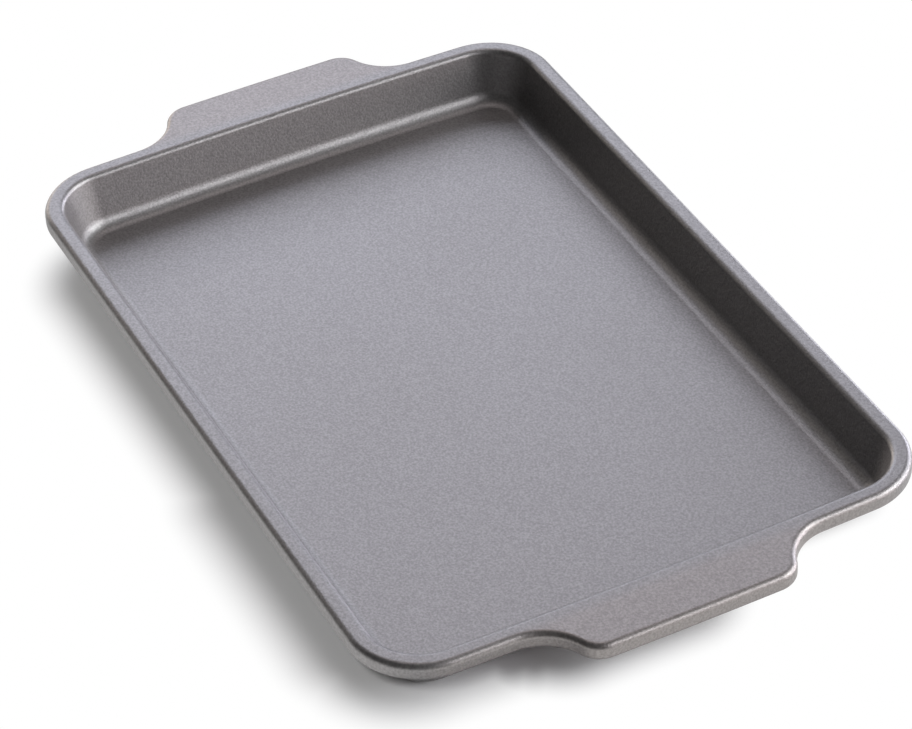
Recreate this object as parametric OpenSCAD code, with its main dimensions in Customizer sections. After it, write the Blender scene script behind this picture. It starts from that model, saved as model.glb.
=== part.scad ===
// Jelly roll pan: one pressed sheet-steel tray with a flat tab handle at each
// end, its edge turned down and curled round a steel wire that stiffens it.
// X runs along the pan through both handles, Y across it and Z up.
// The origin is on the underside of the floor, under the middle of the pan.

/* [Tray] */
// Length of the opening, between the inner edges of the flat rim
opening_l = 381; // [340:1:430]
// Width of the opening, between the inner edges of the flat rim
opening_w = 254; // [230:1:290]
// Inside depth from the top of the rim to the floor
depth = 26; // [22:0.5:36]
// Thickness of the steel sheet
sheet_t = 0.8; // [0.6:0.05:1]
// Radius of the opening's corners seen from above
corner_r = 27.5; // [25:0.5:40]
// Radius inside, where the wall meets the floor
floor_fillet_r = 8; // [4:0.1:10]
// Radius of the top edge where the wall turns into the flat rim
lip_r = 3; // [2:0.1:4]

/* [Rim] */
// Width of the flat rim along the sides
flat_w = 3.5; // [2.5:0.1:6]
// Radius of the bend where the flat rim turns down
bend_r = 3; // [2.5:0.1:4]
// Height of the turned-down edge, curl included
skirt_h = 8.2; // [7:0.1:9.5]
// How far the curl wraps round the wire, in degrees
curl_wrap = 255; // [240:5:265]

/* [Handles] */
// Length of the straight end edge of each handle
handle_tip_w = 80; // [60:1:90]
// Width of each handle at its root, where it leaves the side of the pan
handle_root_w = 148; // [140:0.2:162]
// Radius of the handle's outer corners
handle_corner_r = 9.8; // [8:0.1:10.5]
// How far the handle's edge turns between its outer corner and its root, in degrees
handle_sweep = 66; // [60:1:70]

/* [Wire] */
// Diameter of the stiffening wire
wire_d = 2; // [1.8:0.1:2.4]
// Clearance between the wire and the curl round it
wire_clearance = 0.1; // [0.05:0.05:0.2]
// Gap between the two butted ends of the wire loop
wire_joint_gap = 0.5; // [0.3:0.1:2]

/* [Hidden] */
$fn = 96;

// How far the curved stretches of sheet run into the flat ones
lap = 0.8;
// Hair's breadth by which stretches overlap, so that the ones that meet are one piece
hair = 1e-9;

// Height of the flat rim's top
rim_z = depth + sheet_t;

// Wall: it leans 7 across for every 24 down, and the floor starts this far inside the opening
wall_lean = atan2(7, 24);
bends_r = lip_r + floor_fillet_r;
wall_len = (depth - bends_r * (1 - sin(wall_lean))) / cos(wall_lean);
floor_inset = bends_r * cos(wall_lean) + wall_len * sin(wall_lean);

// Plan of the tray and of the flat rim's outer edge
half_l = opening_l / 2;
half_w = opening_w / 2;
corner_x = half_l - corner_r;
corner_y = half_w - corner_r;
side_x = half_l + flat_w;
side_y = half_w + flat_w;

// Plan of the handles: a round corner and a wide root sweep that meet at a tangent
tip_y = handle_tip_w / 2;
root_y = handle_root_w / 2;
root_r = (root_y - tip_y) / sin(handle_sweep) - handle_corner_r;
tip_x = side_x + (root_y - tip_y) * tan(handle_sweep / 2);
tip_c = [tip_x - handle_corner_r, tip_y];
root_c = [side_x + root_r, root_y];

// Curl round the wire, in the section of the rim
curl_r = wire_d / 2 + wire_clearance + sheet_t;
curl_c = [bend_r - curl_r, curl_r - skirt_h];

// Moves in a coarse and a fine step, so that neighbouring stretches meet exactly
module shift(v) {
    coarse = [for (n = v) round(n * 100) / 100];
    translate(coarse)
        translate(v - coarse)
            children();
}

// Bend of the sheet, seen in section, from one direction to another at most 90 degrees on
module bend(r_out, from_a, to_a) {
    intersection() {
        difference() {
            circle(r_out);
            circle(r_out - sheet_t);
        }
        rotate(from_a)
            square(2 * r_out);
        rotate(to_a - 90)
            square(2 * r_out);
    }
}

// Section of the wall, from the floor up over the lip.
// Zero is the opening's edge at the height of the rim, and outward is positive.
module wall_section() {
    half_wall = 0.6 * wall_len;
    translate([0, -sheet_t])
        square([lap, sheet_t]);
    translate([0, -lip_r]) {
        bend(lip_r, 90, 180 - wall_lean);
        rotate(180 - wall_lean)
            translate([lip_r - sheet_t, 0])
                square([sheet_t, half_wall]);
    }
    shift([-floor_inset, floor_fillet_r - depth]) {
        bend(floor_fillet_r + sheet_t, 270, 360 - wall_lean);
        rotate(-wall_lean)
            translate([floor_fillet_r, 0])
                square([sheet_t, half_wall]);
        translate([-lap, -floor_fillet_r - sheet_t])
            square([lap, sheet_t]);
    }
}

// Section of the flat rim and its turned-down edge. Zero is where the flat rim ends.
module rim_section() {
    translate([-flat_w, -sheet_t])
        square([flat_w, sheet_t]);
    translate([0, -bend_r])
        bend(bend_r, 0, 90);
    translate([bend_r - sheet_t, curl_c[1]])
        square([sheet_t, -bend_r - curl_c[1]]);
    translate(curl_c)
        difference() {
            circle(curl_r);
            circle(curl_r - sheet_t);
            square(2 * curl_r);
            rotate(270 - curl_wrap)
                square(2 * curl_r);
        }
}

// Section of the wire, in the middle of the curl
module wire_section() {
    translate(curl_c)
        circle(d = wire_d);
}

// Runs a section straight along the pan, at a distance from its middle
module run_along(y, from_x, to_x) {
    translate([from_x, 0, rim_z])
        rotate([90, 0, 90])
            linear_extrude(to_x - from_x)
                shift([y, 0])
                    children();
}

// Runs a section straight across the pan, at a distance from its middle
module run_across(x, from_y, to_y) {
    translate([0, to_y + hair, rim_z])
        rotate([90, 0, 0])
            linear_extrude(to_y - from_y + 2 * hair)
                shift([x, 0])
                    children();
}

// Turns a section anticlockwise round a centre, starting on its right
module turn(centre, r, a) {
    shift([centre[0], centre[1], rim_z])
        rotate_extrude(angle = a + hair)
            shift([r, 0])
                children();
}

// Turns a section round a centre outside the pan, starting on its left
module turn_inward(centre, r, a) {
    shift([centre[0], centre[1], rim_z])
        rotate([0, 0, 180])
            rotate_extrude(angle = a + hair)
                shift([r, 0])
                    mirror([1, 0])
                        children();
}

// Repeats a piece at the other end of the pan
module both_ends() {
    for (end = [0, 1])
        mirror([end, 0, 0])
            children();
}

// Repeats a piece at the other side of the pan
module both_sides() {
    for (side = [0, 1])
        mirror([0, side, 0])
            children();
}

// Runs the wall's section round the whole tray
module round_tray() {
    both_sides()
        run_along(half_w, -corner_x, corner_x)
            children();
    both_ends() {
        run_across(half_l, -corner_y, corner_y)
            children();
        both_sides()
            turn([corner_x, corner_y], corner_r, 90)
                children();
    }
}

// Runs a section round the outer edge of the rim and both handles
module round_rim() {
    both_sides()
        run_along(side_y, -corner_x, corner_x)
            children();
    both_ends() {
        run_across(tip_x, -tip_y, tip_y)
            children();
        both_sides() {
            turn([corner_x, corner_y], corner_r + flat_w, 90)
                children();
            run_across(side_x, root_y, corner_y)
                children();
            turn_inward(root_c, root_r, handle_sweep)
                children();
            turn(tip_c, handle_corner_r, handle_sweep)
                children();
        }
    }
}

// Floor, its outline inside the lap of the wall's section
module floor_plate() {
    inset = round(10 * (floor_inset + lap / 2)) / 10;
    r = corner_r - inset;
    linear_extrude(sheet_t) {
        square([opening_l - 2 * inset, 2 * corner_y], center = true);
        square([2 * corner_x, opening_w - 2 * inset], center = true);
        for (x = [-corner_x, corner_x])
            for (y = [-corner_y, corner_y])
                translate([x, y])
                    circle(r);
    }
}

// Flat of one handle, its outline halfway across the flat of the rim's section
module handle_plate() {
    m = flat_w / 2;
    steps = 6;
    edge = concat(
        [[half_l + lap / 2, root_y + m], [side_x - m, root_y + m]],
        [for (i = [0 : steps]) root_c - (root_r + m) * toward(i * handle_sweep / steps)],
        [for (i = [steps : -1 : 0])
            tip_c + (handle_corner_r - m) * toward(i * handle_sweep / steps)]
    );
    last = len(edge) - 1;
    translate([0, 0, rim_z - sheet_t])
        linear_extrude(sheet_t)
            polygon(concat(edge, [for (i = [last : -1 : 0]) [edge[i][0], -edge[i][1]]]));
}

function toward(a) = [cos(a), sin(a)];

module pan_shell() {
    color("#9c9ba1") {
        floor_plate();
        round_tray()
            wall_section();
        both_ends()
            handle_plate();
        round_rim()
            rim_section();
    }
}

module rim_wire() {
    color("#8b8c8e")
        difference() {
            round_rim()
                wire_section();
            translate([-wire_joint_gap / 2, -side_y - bend_r, rim_z - skirt_h])
                cube([wire_joint_gap, 2 * bend_r, skirt_h]);
        }
}

pan_shell();
rim_wire();
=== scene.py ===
from math import acos, asin, atan2, cos, degrees, pi, radians, sin, sqrt

import bmesh
import bpy
from mathutils import Matrix, Vector


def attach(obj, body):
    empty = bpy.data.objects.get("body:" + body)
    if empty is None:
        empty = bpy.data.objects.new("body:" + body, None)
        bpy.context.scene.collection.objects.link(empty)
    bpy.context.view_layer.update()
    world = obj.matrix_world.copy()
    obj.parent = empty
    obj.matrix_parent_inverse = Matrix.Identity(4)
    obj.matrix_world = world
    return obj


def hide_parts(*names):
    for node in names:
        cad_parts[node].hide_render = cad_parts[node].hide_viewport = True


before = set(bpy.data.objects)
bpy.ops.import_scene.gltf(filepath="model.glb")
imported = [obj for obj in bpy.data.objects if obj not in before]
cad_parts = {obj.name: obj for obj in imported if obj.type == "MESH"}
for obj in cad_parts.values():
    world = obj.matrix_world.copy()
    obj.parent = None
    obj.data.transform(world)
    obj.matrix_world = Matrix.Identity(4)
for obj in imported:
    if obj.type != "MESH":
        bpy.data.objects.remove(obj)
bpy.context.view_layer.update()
mm = 0.001
print("loaded", sorted(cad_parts))


camera = {
    "azimuth": 64.93,  # degrees round from the -Y side
    "elevation": 39.45,
    "roll": -3.16,
    "distance": 1636.8 * mm,  # from the point that it aims at
    "aim": (27.1 * mm, -14.5 * mm, 26.8 * mm),
    "focalPixels": 3666.8,
    "photoWidth": 912,
    "sensor": 36,
}


def addCamera(c):
    az, el, roll = radians(c["azimuth"]), radians(c["elevation"]), radians(c["roll"])
    back = Vector((sin(az) * cos(el), -cos(az) * cos(el), sin(el)))
    right = Vector((cos(az), sin(az), 0))
    up = back.cross(right)
    x = cos(roll) * right + sin(roll) * up
    y = -sin(roll) * right + cos(roll) * up
    data = bpy.data.cameras.new("camera")
    data.sensor_width = c["sensor"]
    data.lens = c["focalPixels"] / c["photoWidth"] * c["sensor"]
    obj = bpy.data.objects.new("camera", data)
    bpy.context.scene.collection.objects.link(obj)
    turned = Matrix((x, y, back)).transposed().to_4x4()
    obj.matrix_world = Matrix.Translation(Vector(c["aim"]) + back * c["distance"]) @ turned
    bpy.context.scene.camera = obj


addCamera(camera)
print("camera set")


# lengths in millimetres and angles in degrees
pan = {
    "openingLength": 381,
    "openingWidth": 254,
    "depth": 26,
    "sheet": 0.8,
    "cornerRadius": 27.5,
    "endBowRadius": 3600,  # the short sides curve slightly outward
    "filletRadius": 8,
    "lipRadius": 3,
    "wallLean": degrees(atan2(7, 24)),
    "flatWidth": 3.5,
    "bendRadius": 3,
    "skirtHeight": 8.2,
    "curlWrap": 255,
    "handleTip": 80,
    "handleReach": 22.08,
    "handleCornerRadius": 9.8,
    "handleRootRadius": 27.42,
    "wire": 2,
    "wireClearance": 0.1,
    "wireGap": 0.5,
    "bendSteps": 10,
    "curlSteps": 26,
    "wallSteps": 3,
    "cornerSteps": 28,  # over a quarter turn
    "bowSteps": 8,
    "wireSides": 16,
    "weld": 0.01,  # points of the two halves closer than this are joined
}


def turnSteps(p, angle):
    return max(2, round(abs(angle) / 90 * p["cornerSteps"]))


def flipped(move):
    # the same move on the other side of the pan, walked the other way
    if move[0] == "run":
        return "run", -move[1], move[2]
    return "turn", move[1], -move[2], move[3]


def halfRoute(p, out, handles):
    # clockwise round the +X half, from the middle of the +Y side to the middle of the -Y side,
    # at a distance out from the opening's edge
    bow = p["endBowRadius"]
    farX = p["openingLength"] / 2 - bow
    cornerY = p["openingWidth"] / 2 - p["cornerRadius"]
    cornerX = farX + sqrt((bow - p["cornerRadius"]) ** 2 - cornerY**2)
    endAngle = degrees(asin(cornerY / (bow - p["cornerRadius"])))
    start = Vector((0, p["openingWidth"] / 2 + out, 0))
    quarter = [("run", cornerX, 0), ("turn", cornerX, cornerY, 90 - endAngle)]
    if not handles:
        quarter.append(("turn", farX, 0, endAngle))
    else:
        side = bow + p["flatWidth"]
        tip = side + p["handleReach"]
        rootR, cornerR = p["handleRootRadius"], p["handleCornerRadius"]
        tipAngle = asin(p["handleTip"] / 2 / tip)
        a, b = side + rootR, tip - cornerR
        between = (a * a + b * b - (rootR + cornerR) ** 2) / (2 * a * b)
        rootAngle = tipAngle + acos(between)
        root = Vector((farX + a * cos(rootAngle), a * sin(rootAngle)))
        corner = Vector((farX + b * cos(tipAngle), b * sin(tipAngle)))
        meet = atan2(root.y - corner.y, root.x - corner.x)
        quarter += [
            ("turn", farX, 0, endAngle - degrees(rootAngle)),
            ("turn", root.x, root.y, degrees(rootAngle - meet)),
            ("turn", corner.x, corner.y, degrees(meet - tipAngle)),
            ("turn", farX, 0, degrees(tipAngle)),
        ]
    return start, quarter + [flipped(move) for move in reversed(quarter)]


def sweep(bm, p, geom, route):
    for kind, x, y, *turned in route:
        place = (x * mm, y * mm, 0)
        if kind == "run":
            geom = bmesh.ops.spin(bm, geom=geom, cent=(0, 0, 0), axis=(0, 0, 1), dvec=place,
                                  angle=0, steps=1)["geom_last"]
        else:
            bowed = abs(x) > p["openingLength"]  # only the bow's centre is that far out
            steps = p["bowSteps"] if bowed else turnSteps(p, turned[0])
            geom = bmesh.ops.spin(bm, geom=geom, cent=place, axis=(0, 0, 1), dvec=(0, 0, 0),
                                  angle=-radians(turned[0]), steps=steps)["geom_last"]
    return geom


def bendSection(bm, geom, y, z, angle, steps):
    return bmesh.ops.spin(bm, geom=geom, cent=(0, y * mm, z * mm), axis=(1, 0, 0),
                          dvec=(0, 0, 0), angle=radians(angle), steps=steps)["geom_last"]


def runSection(bm, geom, dy, dz, steps):
    return bmesh.ops.spin(bm, geom=geom, cent=(0, 0, 0), axis=(1, 0, 0), angle=0, steps=steps,
                          dvec=(0, dy * mm / steps, dz * mm / steps))["geom_last"]


def openEdgesAt(bm, z):
    near = 0.001 * mm
    return [e for e in bm.edges
            if e.is_boundary and all(abs(v.co.z - z * mm) < near for v in e.verts)]


def mirrorAcross(bm, p):
    everything = bm.verts[:] + bm.edges[:] + bm.faces[:]
    bmesh.ops.mirror(bm, geom=everything, matrix=Matrix(), merge_dist=p["weld"] * mm, axis="X")


def finish(bm, name):
    mesh = bpy.data.meshes.new(name)
    bm.to_mesh(mesh)
    bm.free()
    for face in mesh.polygons:
        face.use_smooth = True
    obj = bpy.data.objects.new(name, mesh)
    bpy.context.scene.collection.objects.link(obj)
    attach(obj, "root")
    return obj


def curlCentre(p):
    r = p["wire"] / 2 + p["wireClearance"] + p["sheet"]
    return p["bendRadius"] - r, p["depth"] + p["sheet"] - p["skirtHeight"] + r


def makeShell(p):
    bm = bmesh.new()
    top = p["depth"] + p["sheet"]
    lean = radians(p["wallLean"])
    bends = p["filletRadius"] + p["lipRadius"]
    wall = (p["depth"] - bends * (1 - sin(lean))) / cos(lean)
    inset = bends * cos(lean) + wall * sin(lean)

    # inside of the tray, from the floor's edge up over the lip
    start, route = halfRoute(p, 0, False)
    geom = bmesh.ops.create_vert(bm, co=(0, (start.y - inset) * mm, p["sheet"] * mm))["vert"]
    geom = bendSection(bm, geom, start.y - inset, p["sheet"] + p["filletRadius"],
                       90 - p["wallLean"], p["bendSteps"])
    geom = runSection(bm, geom, wall * sin(lean), wall * cos(lean), p["wallSteps"])
    bendSection(bm, geom, start.y, top - p["lipRadius"], p["wallLean"] - 90, p["bendSteps"])
    sweep(bm, p, bm.edges[:], route)

    # turned-down edge and curl, round the sides and both handles
    start, route = halfRoute(p, p["flatWidth"], True)
    curlY, curlZ = curlCentre(p)
    geom = bmesh.ops.create_vert(bm, co=(0, start.y * mm, top * mm))["vert"]
    geom = bendSection(bm, geom, start.y, top - p["bendRadius"], -90, p["bendSteps"])
    geom = runSection(bm, geom, 0, curlZ - top + p["bendRadius"], 1)
    bendSection(bm, geom, start.y + curlY, curlZ, -p["curlWrap"], p["curlSteps"])
    sweep(bm, p, [e for e in bm.edges if e.is_wire], route)
    mirrorAcross(bm, p)

    # floor, and the flat of the rim and handles
    bmesh.ops.contextual_create(bm, geom=openEdgesAt(bm, p["sheet"]))
    bmesh.ops.triangle_fill(bm, edges=openEdgesAt(bm, top), use_beauty=True, use_dissolve=False)
    bmesh.ops.recalc_face_normals(bm, faces=bm.faces[:])
    floor = max(bm.faces, key=lambda f: f.calc_area())
    if floor.normal.z < 0:
        bmesh.ops.reverse_faces(bm, faces=bm.faces[:])

    shell = finish(bm, "panShell")
    solid = shell.modifiers.new("sheet", "SOLIDIFY")
    solid.thickness = p["sheet"] * mm
    solid.offset = -1
    solid.use_even_offset = True
    shell.modifiers.new("normals", "WEIGHTED_NORMAL").weight = 50
    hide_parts("pan_shell")
    return shell


def makeWire(p):
    bm = bmesh.new()
    start, route = halfRoute(p, p["flatWidth"], True)
    curlY, curlZ = curlCentre(p)
    centre = Matrix.Translation((0, (start.y + curlY) * mm, curlZ * mm))
    upright = centre @ Matrix.Rotation(pi / 2, 4, "Y")
    bmesh.ops.create_circle(bm, cap_ends=False, segments=p["wireSides"],
                            radius=p["wire"] / 2 * mm, matrix=upright)
    kind, x, y = route[-1]
    route[-1] = (kind, x + p["wireGap"] / 2, y)  # it stops short of the middle, for the joint
    end = sweep(bm, p, bm.edges[:], route)
    bmesh.ops.contextual_create(bm, geom=[g for g in end if isinstance(g, bmesh.types.BMEdge)])
    mirrorAcross(bm, p)
    bmesh.ops.recalc_face_normals(bm, faces=bm.faces[:])
    wire = finish(bm, "rimWire")
    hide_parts("rim_wire")
    return wire


shell = makeShell(pan)
wire = makeWire(pan)
print("pan modelled", len(shell.data.polygons), len(wire.data.polygons))


coat = {
    "colour": (0.325, 0.314, 0.313, 1),
    # painted warm reflection: a warmer colour on the handles stands in for a warm reflection
    "handleReflectionTint": (0.331, 0.309, 0.3, 1),
    "handleStart": (192 * mm, 197 * mm),  # from the middle of the pan, where the painted warm reflection on the handles begins
    "roughness": 0.45,
    "roughnessRange": 0.02,
    "grain": 1.1 * mm,  # size of the metal flakes seen in the coat
    "flakes": 0.16,  # how much they lighten and darken it
    "flakeTilt": 0.3,
    "flakeDepth": 0.3 * mm,
    "cloud": 0.025,  # slow change of shade over the sheet
    "cloudScale": 9.0,
}
steel = {
    "colour": (0.5, 0.5, 0.51, 1),
    "roughness": 0.35,
    "roughnessRange": 0.1,
    "scratchScale": 700.0,
}


def addNode(tree, kind, **values):
    node = tree.nodes.new(kind)
    for key, value in values.items():
        if key in node.inputs:
            node.inputs[key].default_value = value
        else:
            setattr(node, key, value)
    return node


def newMaterial(name):
    mat = bpy.data.materials.new(name)
    mat.use_nodes = True
    return mat, mat.node_tree, mat.node_tree.nodes["Principled BSDF"]


def spread(tree, value, low, high, fromLow=0.3, fromHigh=0.7):
    limits = {"From Min": fromLow, "From Max": fromHigh, "To Min": low, "To Max": high}
    node = addNode(tree, "ShaderNodeMapRange", **limits)
    tree.links.new(value, node.inputs["Value"])
    return node.outputs["Result"]


def combine(tree, a, b, operation="MULTIPLY"):
    node = addNode(tree, "ShaderNodeMath", operation=operation)
    tree.links.new(a, node.inputs[0])
    tree.links.new(b, node.inputs[1])
    return node.outputs["Value"]


def spreadAround(tree, value, middle, half):
    return spread(tree, value, middle - half, middle + half)


def coatMaterial(c):
    mat, tree, surface = newMaterial("nonstick coat")
    link = tree.links.new
    surface.inputs["Metallic"].default_value = 1
    place = addNode(tree, "ShaderNodeTexCoord")
    flakes = addNode(tree, "ShaderNodeTexNoise", Scale=1 / c["grain"], Detail=1.5, Roughness=0.55)
    cloud = addNode(tree, "ShaderNodeTexNoise", Scale=c["cloudScale"], Detail=3.0, Roughness=0.5)
    link(place.outputs["Object"], flakes.inputs["Vector"])
    link(place.outputs["Object"], cloud.inputs["Vector"])
    fleck = spreadAround(tree, flakes.outputs["Fac"], 1, c["flakes"])
    shade = combine(tree, fleck, spreadAround(tree, cloud.outputs["Fac"], 1, c["cloud"]))

    # painted warm reflection: the handles are coloured slightly warmer in place of a warm
    # reflection
    where = addNode(tree, "ShaderNodeSeparateXYZ")
    link(place.outputs["Object"], where.inputs["Vector"])
    beyond = addNode(tree, "ShaderNodeMath", operation="ABSOLUTE")
    link(where.outputs["X"], beyond.inputs[0])
    coatAndReflectionTint = addNode(tree, "ShaderNodeMixRGB", Color1=c["colour"], Color2=c["handleReflectionTint"])
    link(spread(tree, beyond.outputs["Value"], 0, 1, *c["handleStart"]), coatAndReflectionTint.inputs["Fac"])
    tint = addNode(tree, "ShaderNodeVectorMath", operation="SCALE")
    link(coatAndReflectionTint.outputs["Color"], tint.inputs[0])
    link(shade, tint.inputs["Scale"])
    link(tint.outputs["Vector"], surface.inputs["Base Color"])

    rough = spreadAround(tree, cloud.outputs["Fac"], c["roughness"], c["roughnessRange"])
    link(rough, surface.inputs["Roughness"])
    bump = addNode(tree, "ShaderNodeBump", Strength=c["flakeTilt"], Distance=c["flakeDepth"])
    link(flakes.outputs["Fac"], bump.inputs["Height"])
    link(bump.outputs["Normal"], surface.inputs["Normal"])
    return mat


def steelMaterial(c):
    mat, tree, surface = newMaterial("steel wire")
    surface.inputs["Metallic"].default_value = 1
    surface.inputs["Base Color"].default_value = c["colour"]
    place = addNode(tree, "ShaderNodeTexCoord")
    scratches = addNode(tree, "ShaderNodeTexNoise", Scale=c["scratchScale"], Detail=3.0)
    tree.links.new(place.outputs["Object"], scratches.inputs["Vector"])
    rough = spreadAround(tree, scratches.outputs["Fac"], c["roughness"], c["roughnessRange"])
    tree.links.new(rough, surface.inputs["Roughness"])
    return mat


def paint(obj, mat):
    obj.data.materials.clear()
    obj.data.materials.append(mat)


coatFinish = coatMaterial(coat)
steelFinish = steelMaterial(steel)
paint(shell, coatFinish)
paint(wire, steelFinish)
paint(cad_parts["pan_shell"], coatFinish)
paint(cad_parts["rim_wire"], steelFinish)
print("finishes done")


studio = {
    "floorColour": (0.97, 0.97, 0.97, 1),
    "floorSize": 30,
    "floorDrop": 0.1 * mm,  # keeps it just under the pan
    # Where the floor isn't plain white to the camera: under the pan and in the shadow beside it.
    # Each zone is a box on the floor, in millimetres. Outward from the box, over its reach,
    # the share of plain white rises from the first number to the second.
    "shade": [
        {"x": (-165, 165), "y": (-105, 105), "reach": (5, 20), "white": (0, 1)},
        {"x": (-135, 155), "y": (-105, 11), "reach": (25, 54), "white": (0.2, 1)},
        {"x": (40, 140), "y": (-105, 11), "reach": (28, 59), "white": (0.2, 1)},
        {"x": (130, 150), "y": (-90, 5), "reach": (29, 52), "white": (0, 1)},
        {"x": (120, 180), "y": (-43, 7), "reach": (16, 40), "white": (0, 1)},
        {"x": (150, 181), "y": (-69, -45), "reach": (4, 26), "white": (0, 1)},
        {"x": (174, 186), "y": (-60, -50), "reach": (3, 26), "white": (0, 1)},
    ],
    # the same as the pan's own surfaces mirror it
    "mirroredShade": {"x": (-195, 195), "y": (-110, 30), "reach": (20, 40), "white": (0, 1)},
    "room": 0.07,
    "lampDistance": 2.9,
    # azimuth in degrees round from +X, size in metres and power in watts
    "lamps": {
        "key softbox": {
            "azimuth": 58, "elevation": 30, "size": (2.3, 1.5),
            "power": 56, "colour": (0.96, 0.98, 1),
        },
        "near softbox": {
            "azimuth": 22, "elevation": 34, "size": (1.0, 0.8),
            "power": 8.5, "colour": (0.98, 0.96, 1),
        },
        "back softbox": {
            "azimuth": 160, "elevation": 31, "size": (2.2, 1.4),
            "power": 23.2, "colour": (0.84, 0.875, 1),
        },
        "top softbox": {
            "azimuth": 150, "elevation": 68, "size": (1.5, 1.5),
            "power": 7.7, "colour": (1, 0.91, 0.91),
        },
        "low panel left": {
            "azimuth": 190, "elevation": 12, "size": (1.6, 1.2),
            "power": 16, "colour": (1, 0.92, 0.86),
        },
        "low panel right": {
            "azimuth": 112, "elevation": 10, "size": (1.6, 1.2),
            "power": 36, "colour": (0.86, 0.875, 1),
        },
        "low panel near": {
            "azimuth": 38, "elevation": 7, "size": (1.8, 0.8),
            "power": 8, "colour": (1, 0.87, 0.88),
        },
        "low panel corner": {
            "azimuth": 78, "elevation": 4, "size": (1.6, 0.5),
            "power": 24, "colour": (0.97, 0.92, 1),
        },
    },
}


def whiteAround(tree, place, zone):
    (left, right), (near, far) = zone["x"], zone["y"]
    middle = Vector((left + right, near + far, 0)) / 2 * mm
    half = Vector((right - left, far - near, 0)) / 2 * mm
    none = Vector((0, 0, 0))
    steps = (("SUBTRACT", middle), ("ABSOLUTE", none), ("SUBTRACT", half), ("MAXIMUM", none))
    for operation, value in steps:
        step = addNode(tree, "ShaderNodeVectorMath", operation=operation)
        step.inputs[1].default_value = value
        tree.links.new(place, step.inputs[0])
        place = step.outputs["Vector"]
    away = addNode(tree, "ShaderNodeVectorMath", operation="LENGTH")
    tree.links.new(place, away.inputs[0])
    start, end = zone["reach"]
    white = spread(tree, away.outputs["Value"], *zone["white"], start * mm, end * mm)
    white.node.interpolation_type = "SMOOTHSTEP"
    return white


def addFloor(s):
    bm = bmesh.new()
    bmesh.ops.create_grid(bm, x_segments=1, y_segments=1, size=s["floorSize"] / 2)
    bmesh.ops.translate(bm, verts=bm.verts[:], vec=(0, 0, -s["floorDrop"]))
    mesh = bpy.data.meshes.new("floor")
    bm.to_mesh(mesh)
    bm.free()
    obj = bpy.data.objects.new("floor", mesh)
    bpy.context.scene.collection.objects.link(obj)
    mat, tree, surface = newMaterial("floor")
    link = tree.links.new
    surface.inputs["Base Color"].default_value = s["floorColour"]
    surface.inputs["Roughness"].default_value = 1
    surface.inputs["Specular IOR Level"].default_value = 0
    place = addNode(tree, "ShaderNodeTexCoord").outputs["Object"]
    seen = addNode(tree, "ShaderNodeLightPath")
    share = seen.outputs["Is Camera Ray"]
    for zone in s["shade"]:
        share = combine(tree, share, whiteAround(tree, place, zone), "MINIMUM")
    glossy, through = seen.outputs["Is Glossy Ray"], seen.outputs["Is Transmission Ray"]
    mirrored = whiteAround(tree, place, s["mirroredShade"])
    mirrored = combine(tree, combine(tree, glossy, through, "MAXIMUM"), mirrored, "MINIMUM")

    white = addNode(tree, "ShaderNodeEmission", Strength=1.0)
    mix = addNode(tree, "ShaderNodeMixShader")
    link(combine(tree, share, mirrored, "MAXIMUM"), mix.inputs["Fac"])
    link(surface.outputs["BSDF"], mix.inputs[1])
    link(white.outputs["Emission"], mix.inputs[2])
    link(mix.outputs["Shader"], tree.nodes["Material Output"].inputs["Surface"])
    mesh.materials.append(mat)


def addLamp(name, lamp, distance):
    az, el = radians(lamp["azimuth"]), radians(lamp["elevation"])
    data = bpy.data.lights.new(name, "AREA")
    data.shape = "RECTANGLE"
    data.size, data.size_y = lamp["size"]
    data.energy = lamp["power"]
    data.color = lamp["colour"]
    obj = bpy.data.objects.new(name, data)
    bpy.context.scene.collection.objects.link(obj)
    away = Vector((cos(az) * cos(el), sin(az) * cos(el), sin(el)))
    turned = away.to_track_quat("Z", "Y").to_matrix().to_4x4()
    obj.matrix_world = Matrix.Translation(away * distance) @ turned


def addRoom(s):
    world = bpy.data.worlds.new("room")
    bpy.context.scene.world = world
    world.use_nodes = True
    light = world.node_tree.nodes["Background"]
    light.inputs["Color"].default_value = (1, 1, 1, 1)
    light.inputs["Strength"].default_value = s["room"]


addFloor(studio)
addRoom(studio)
for name, lamp in studio["lamps"].items():
    addLamp(name, lamp, studio["lampDistance"])
bpy.context.scene.view_settings.view_transform = "Standard"
print("studio lit")
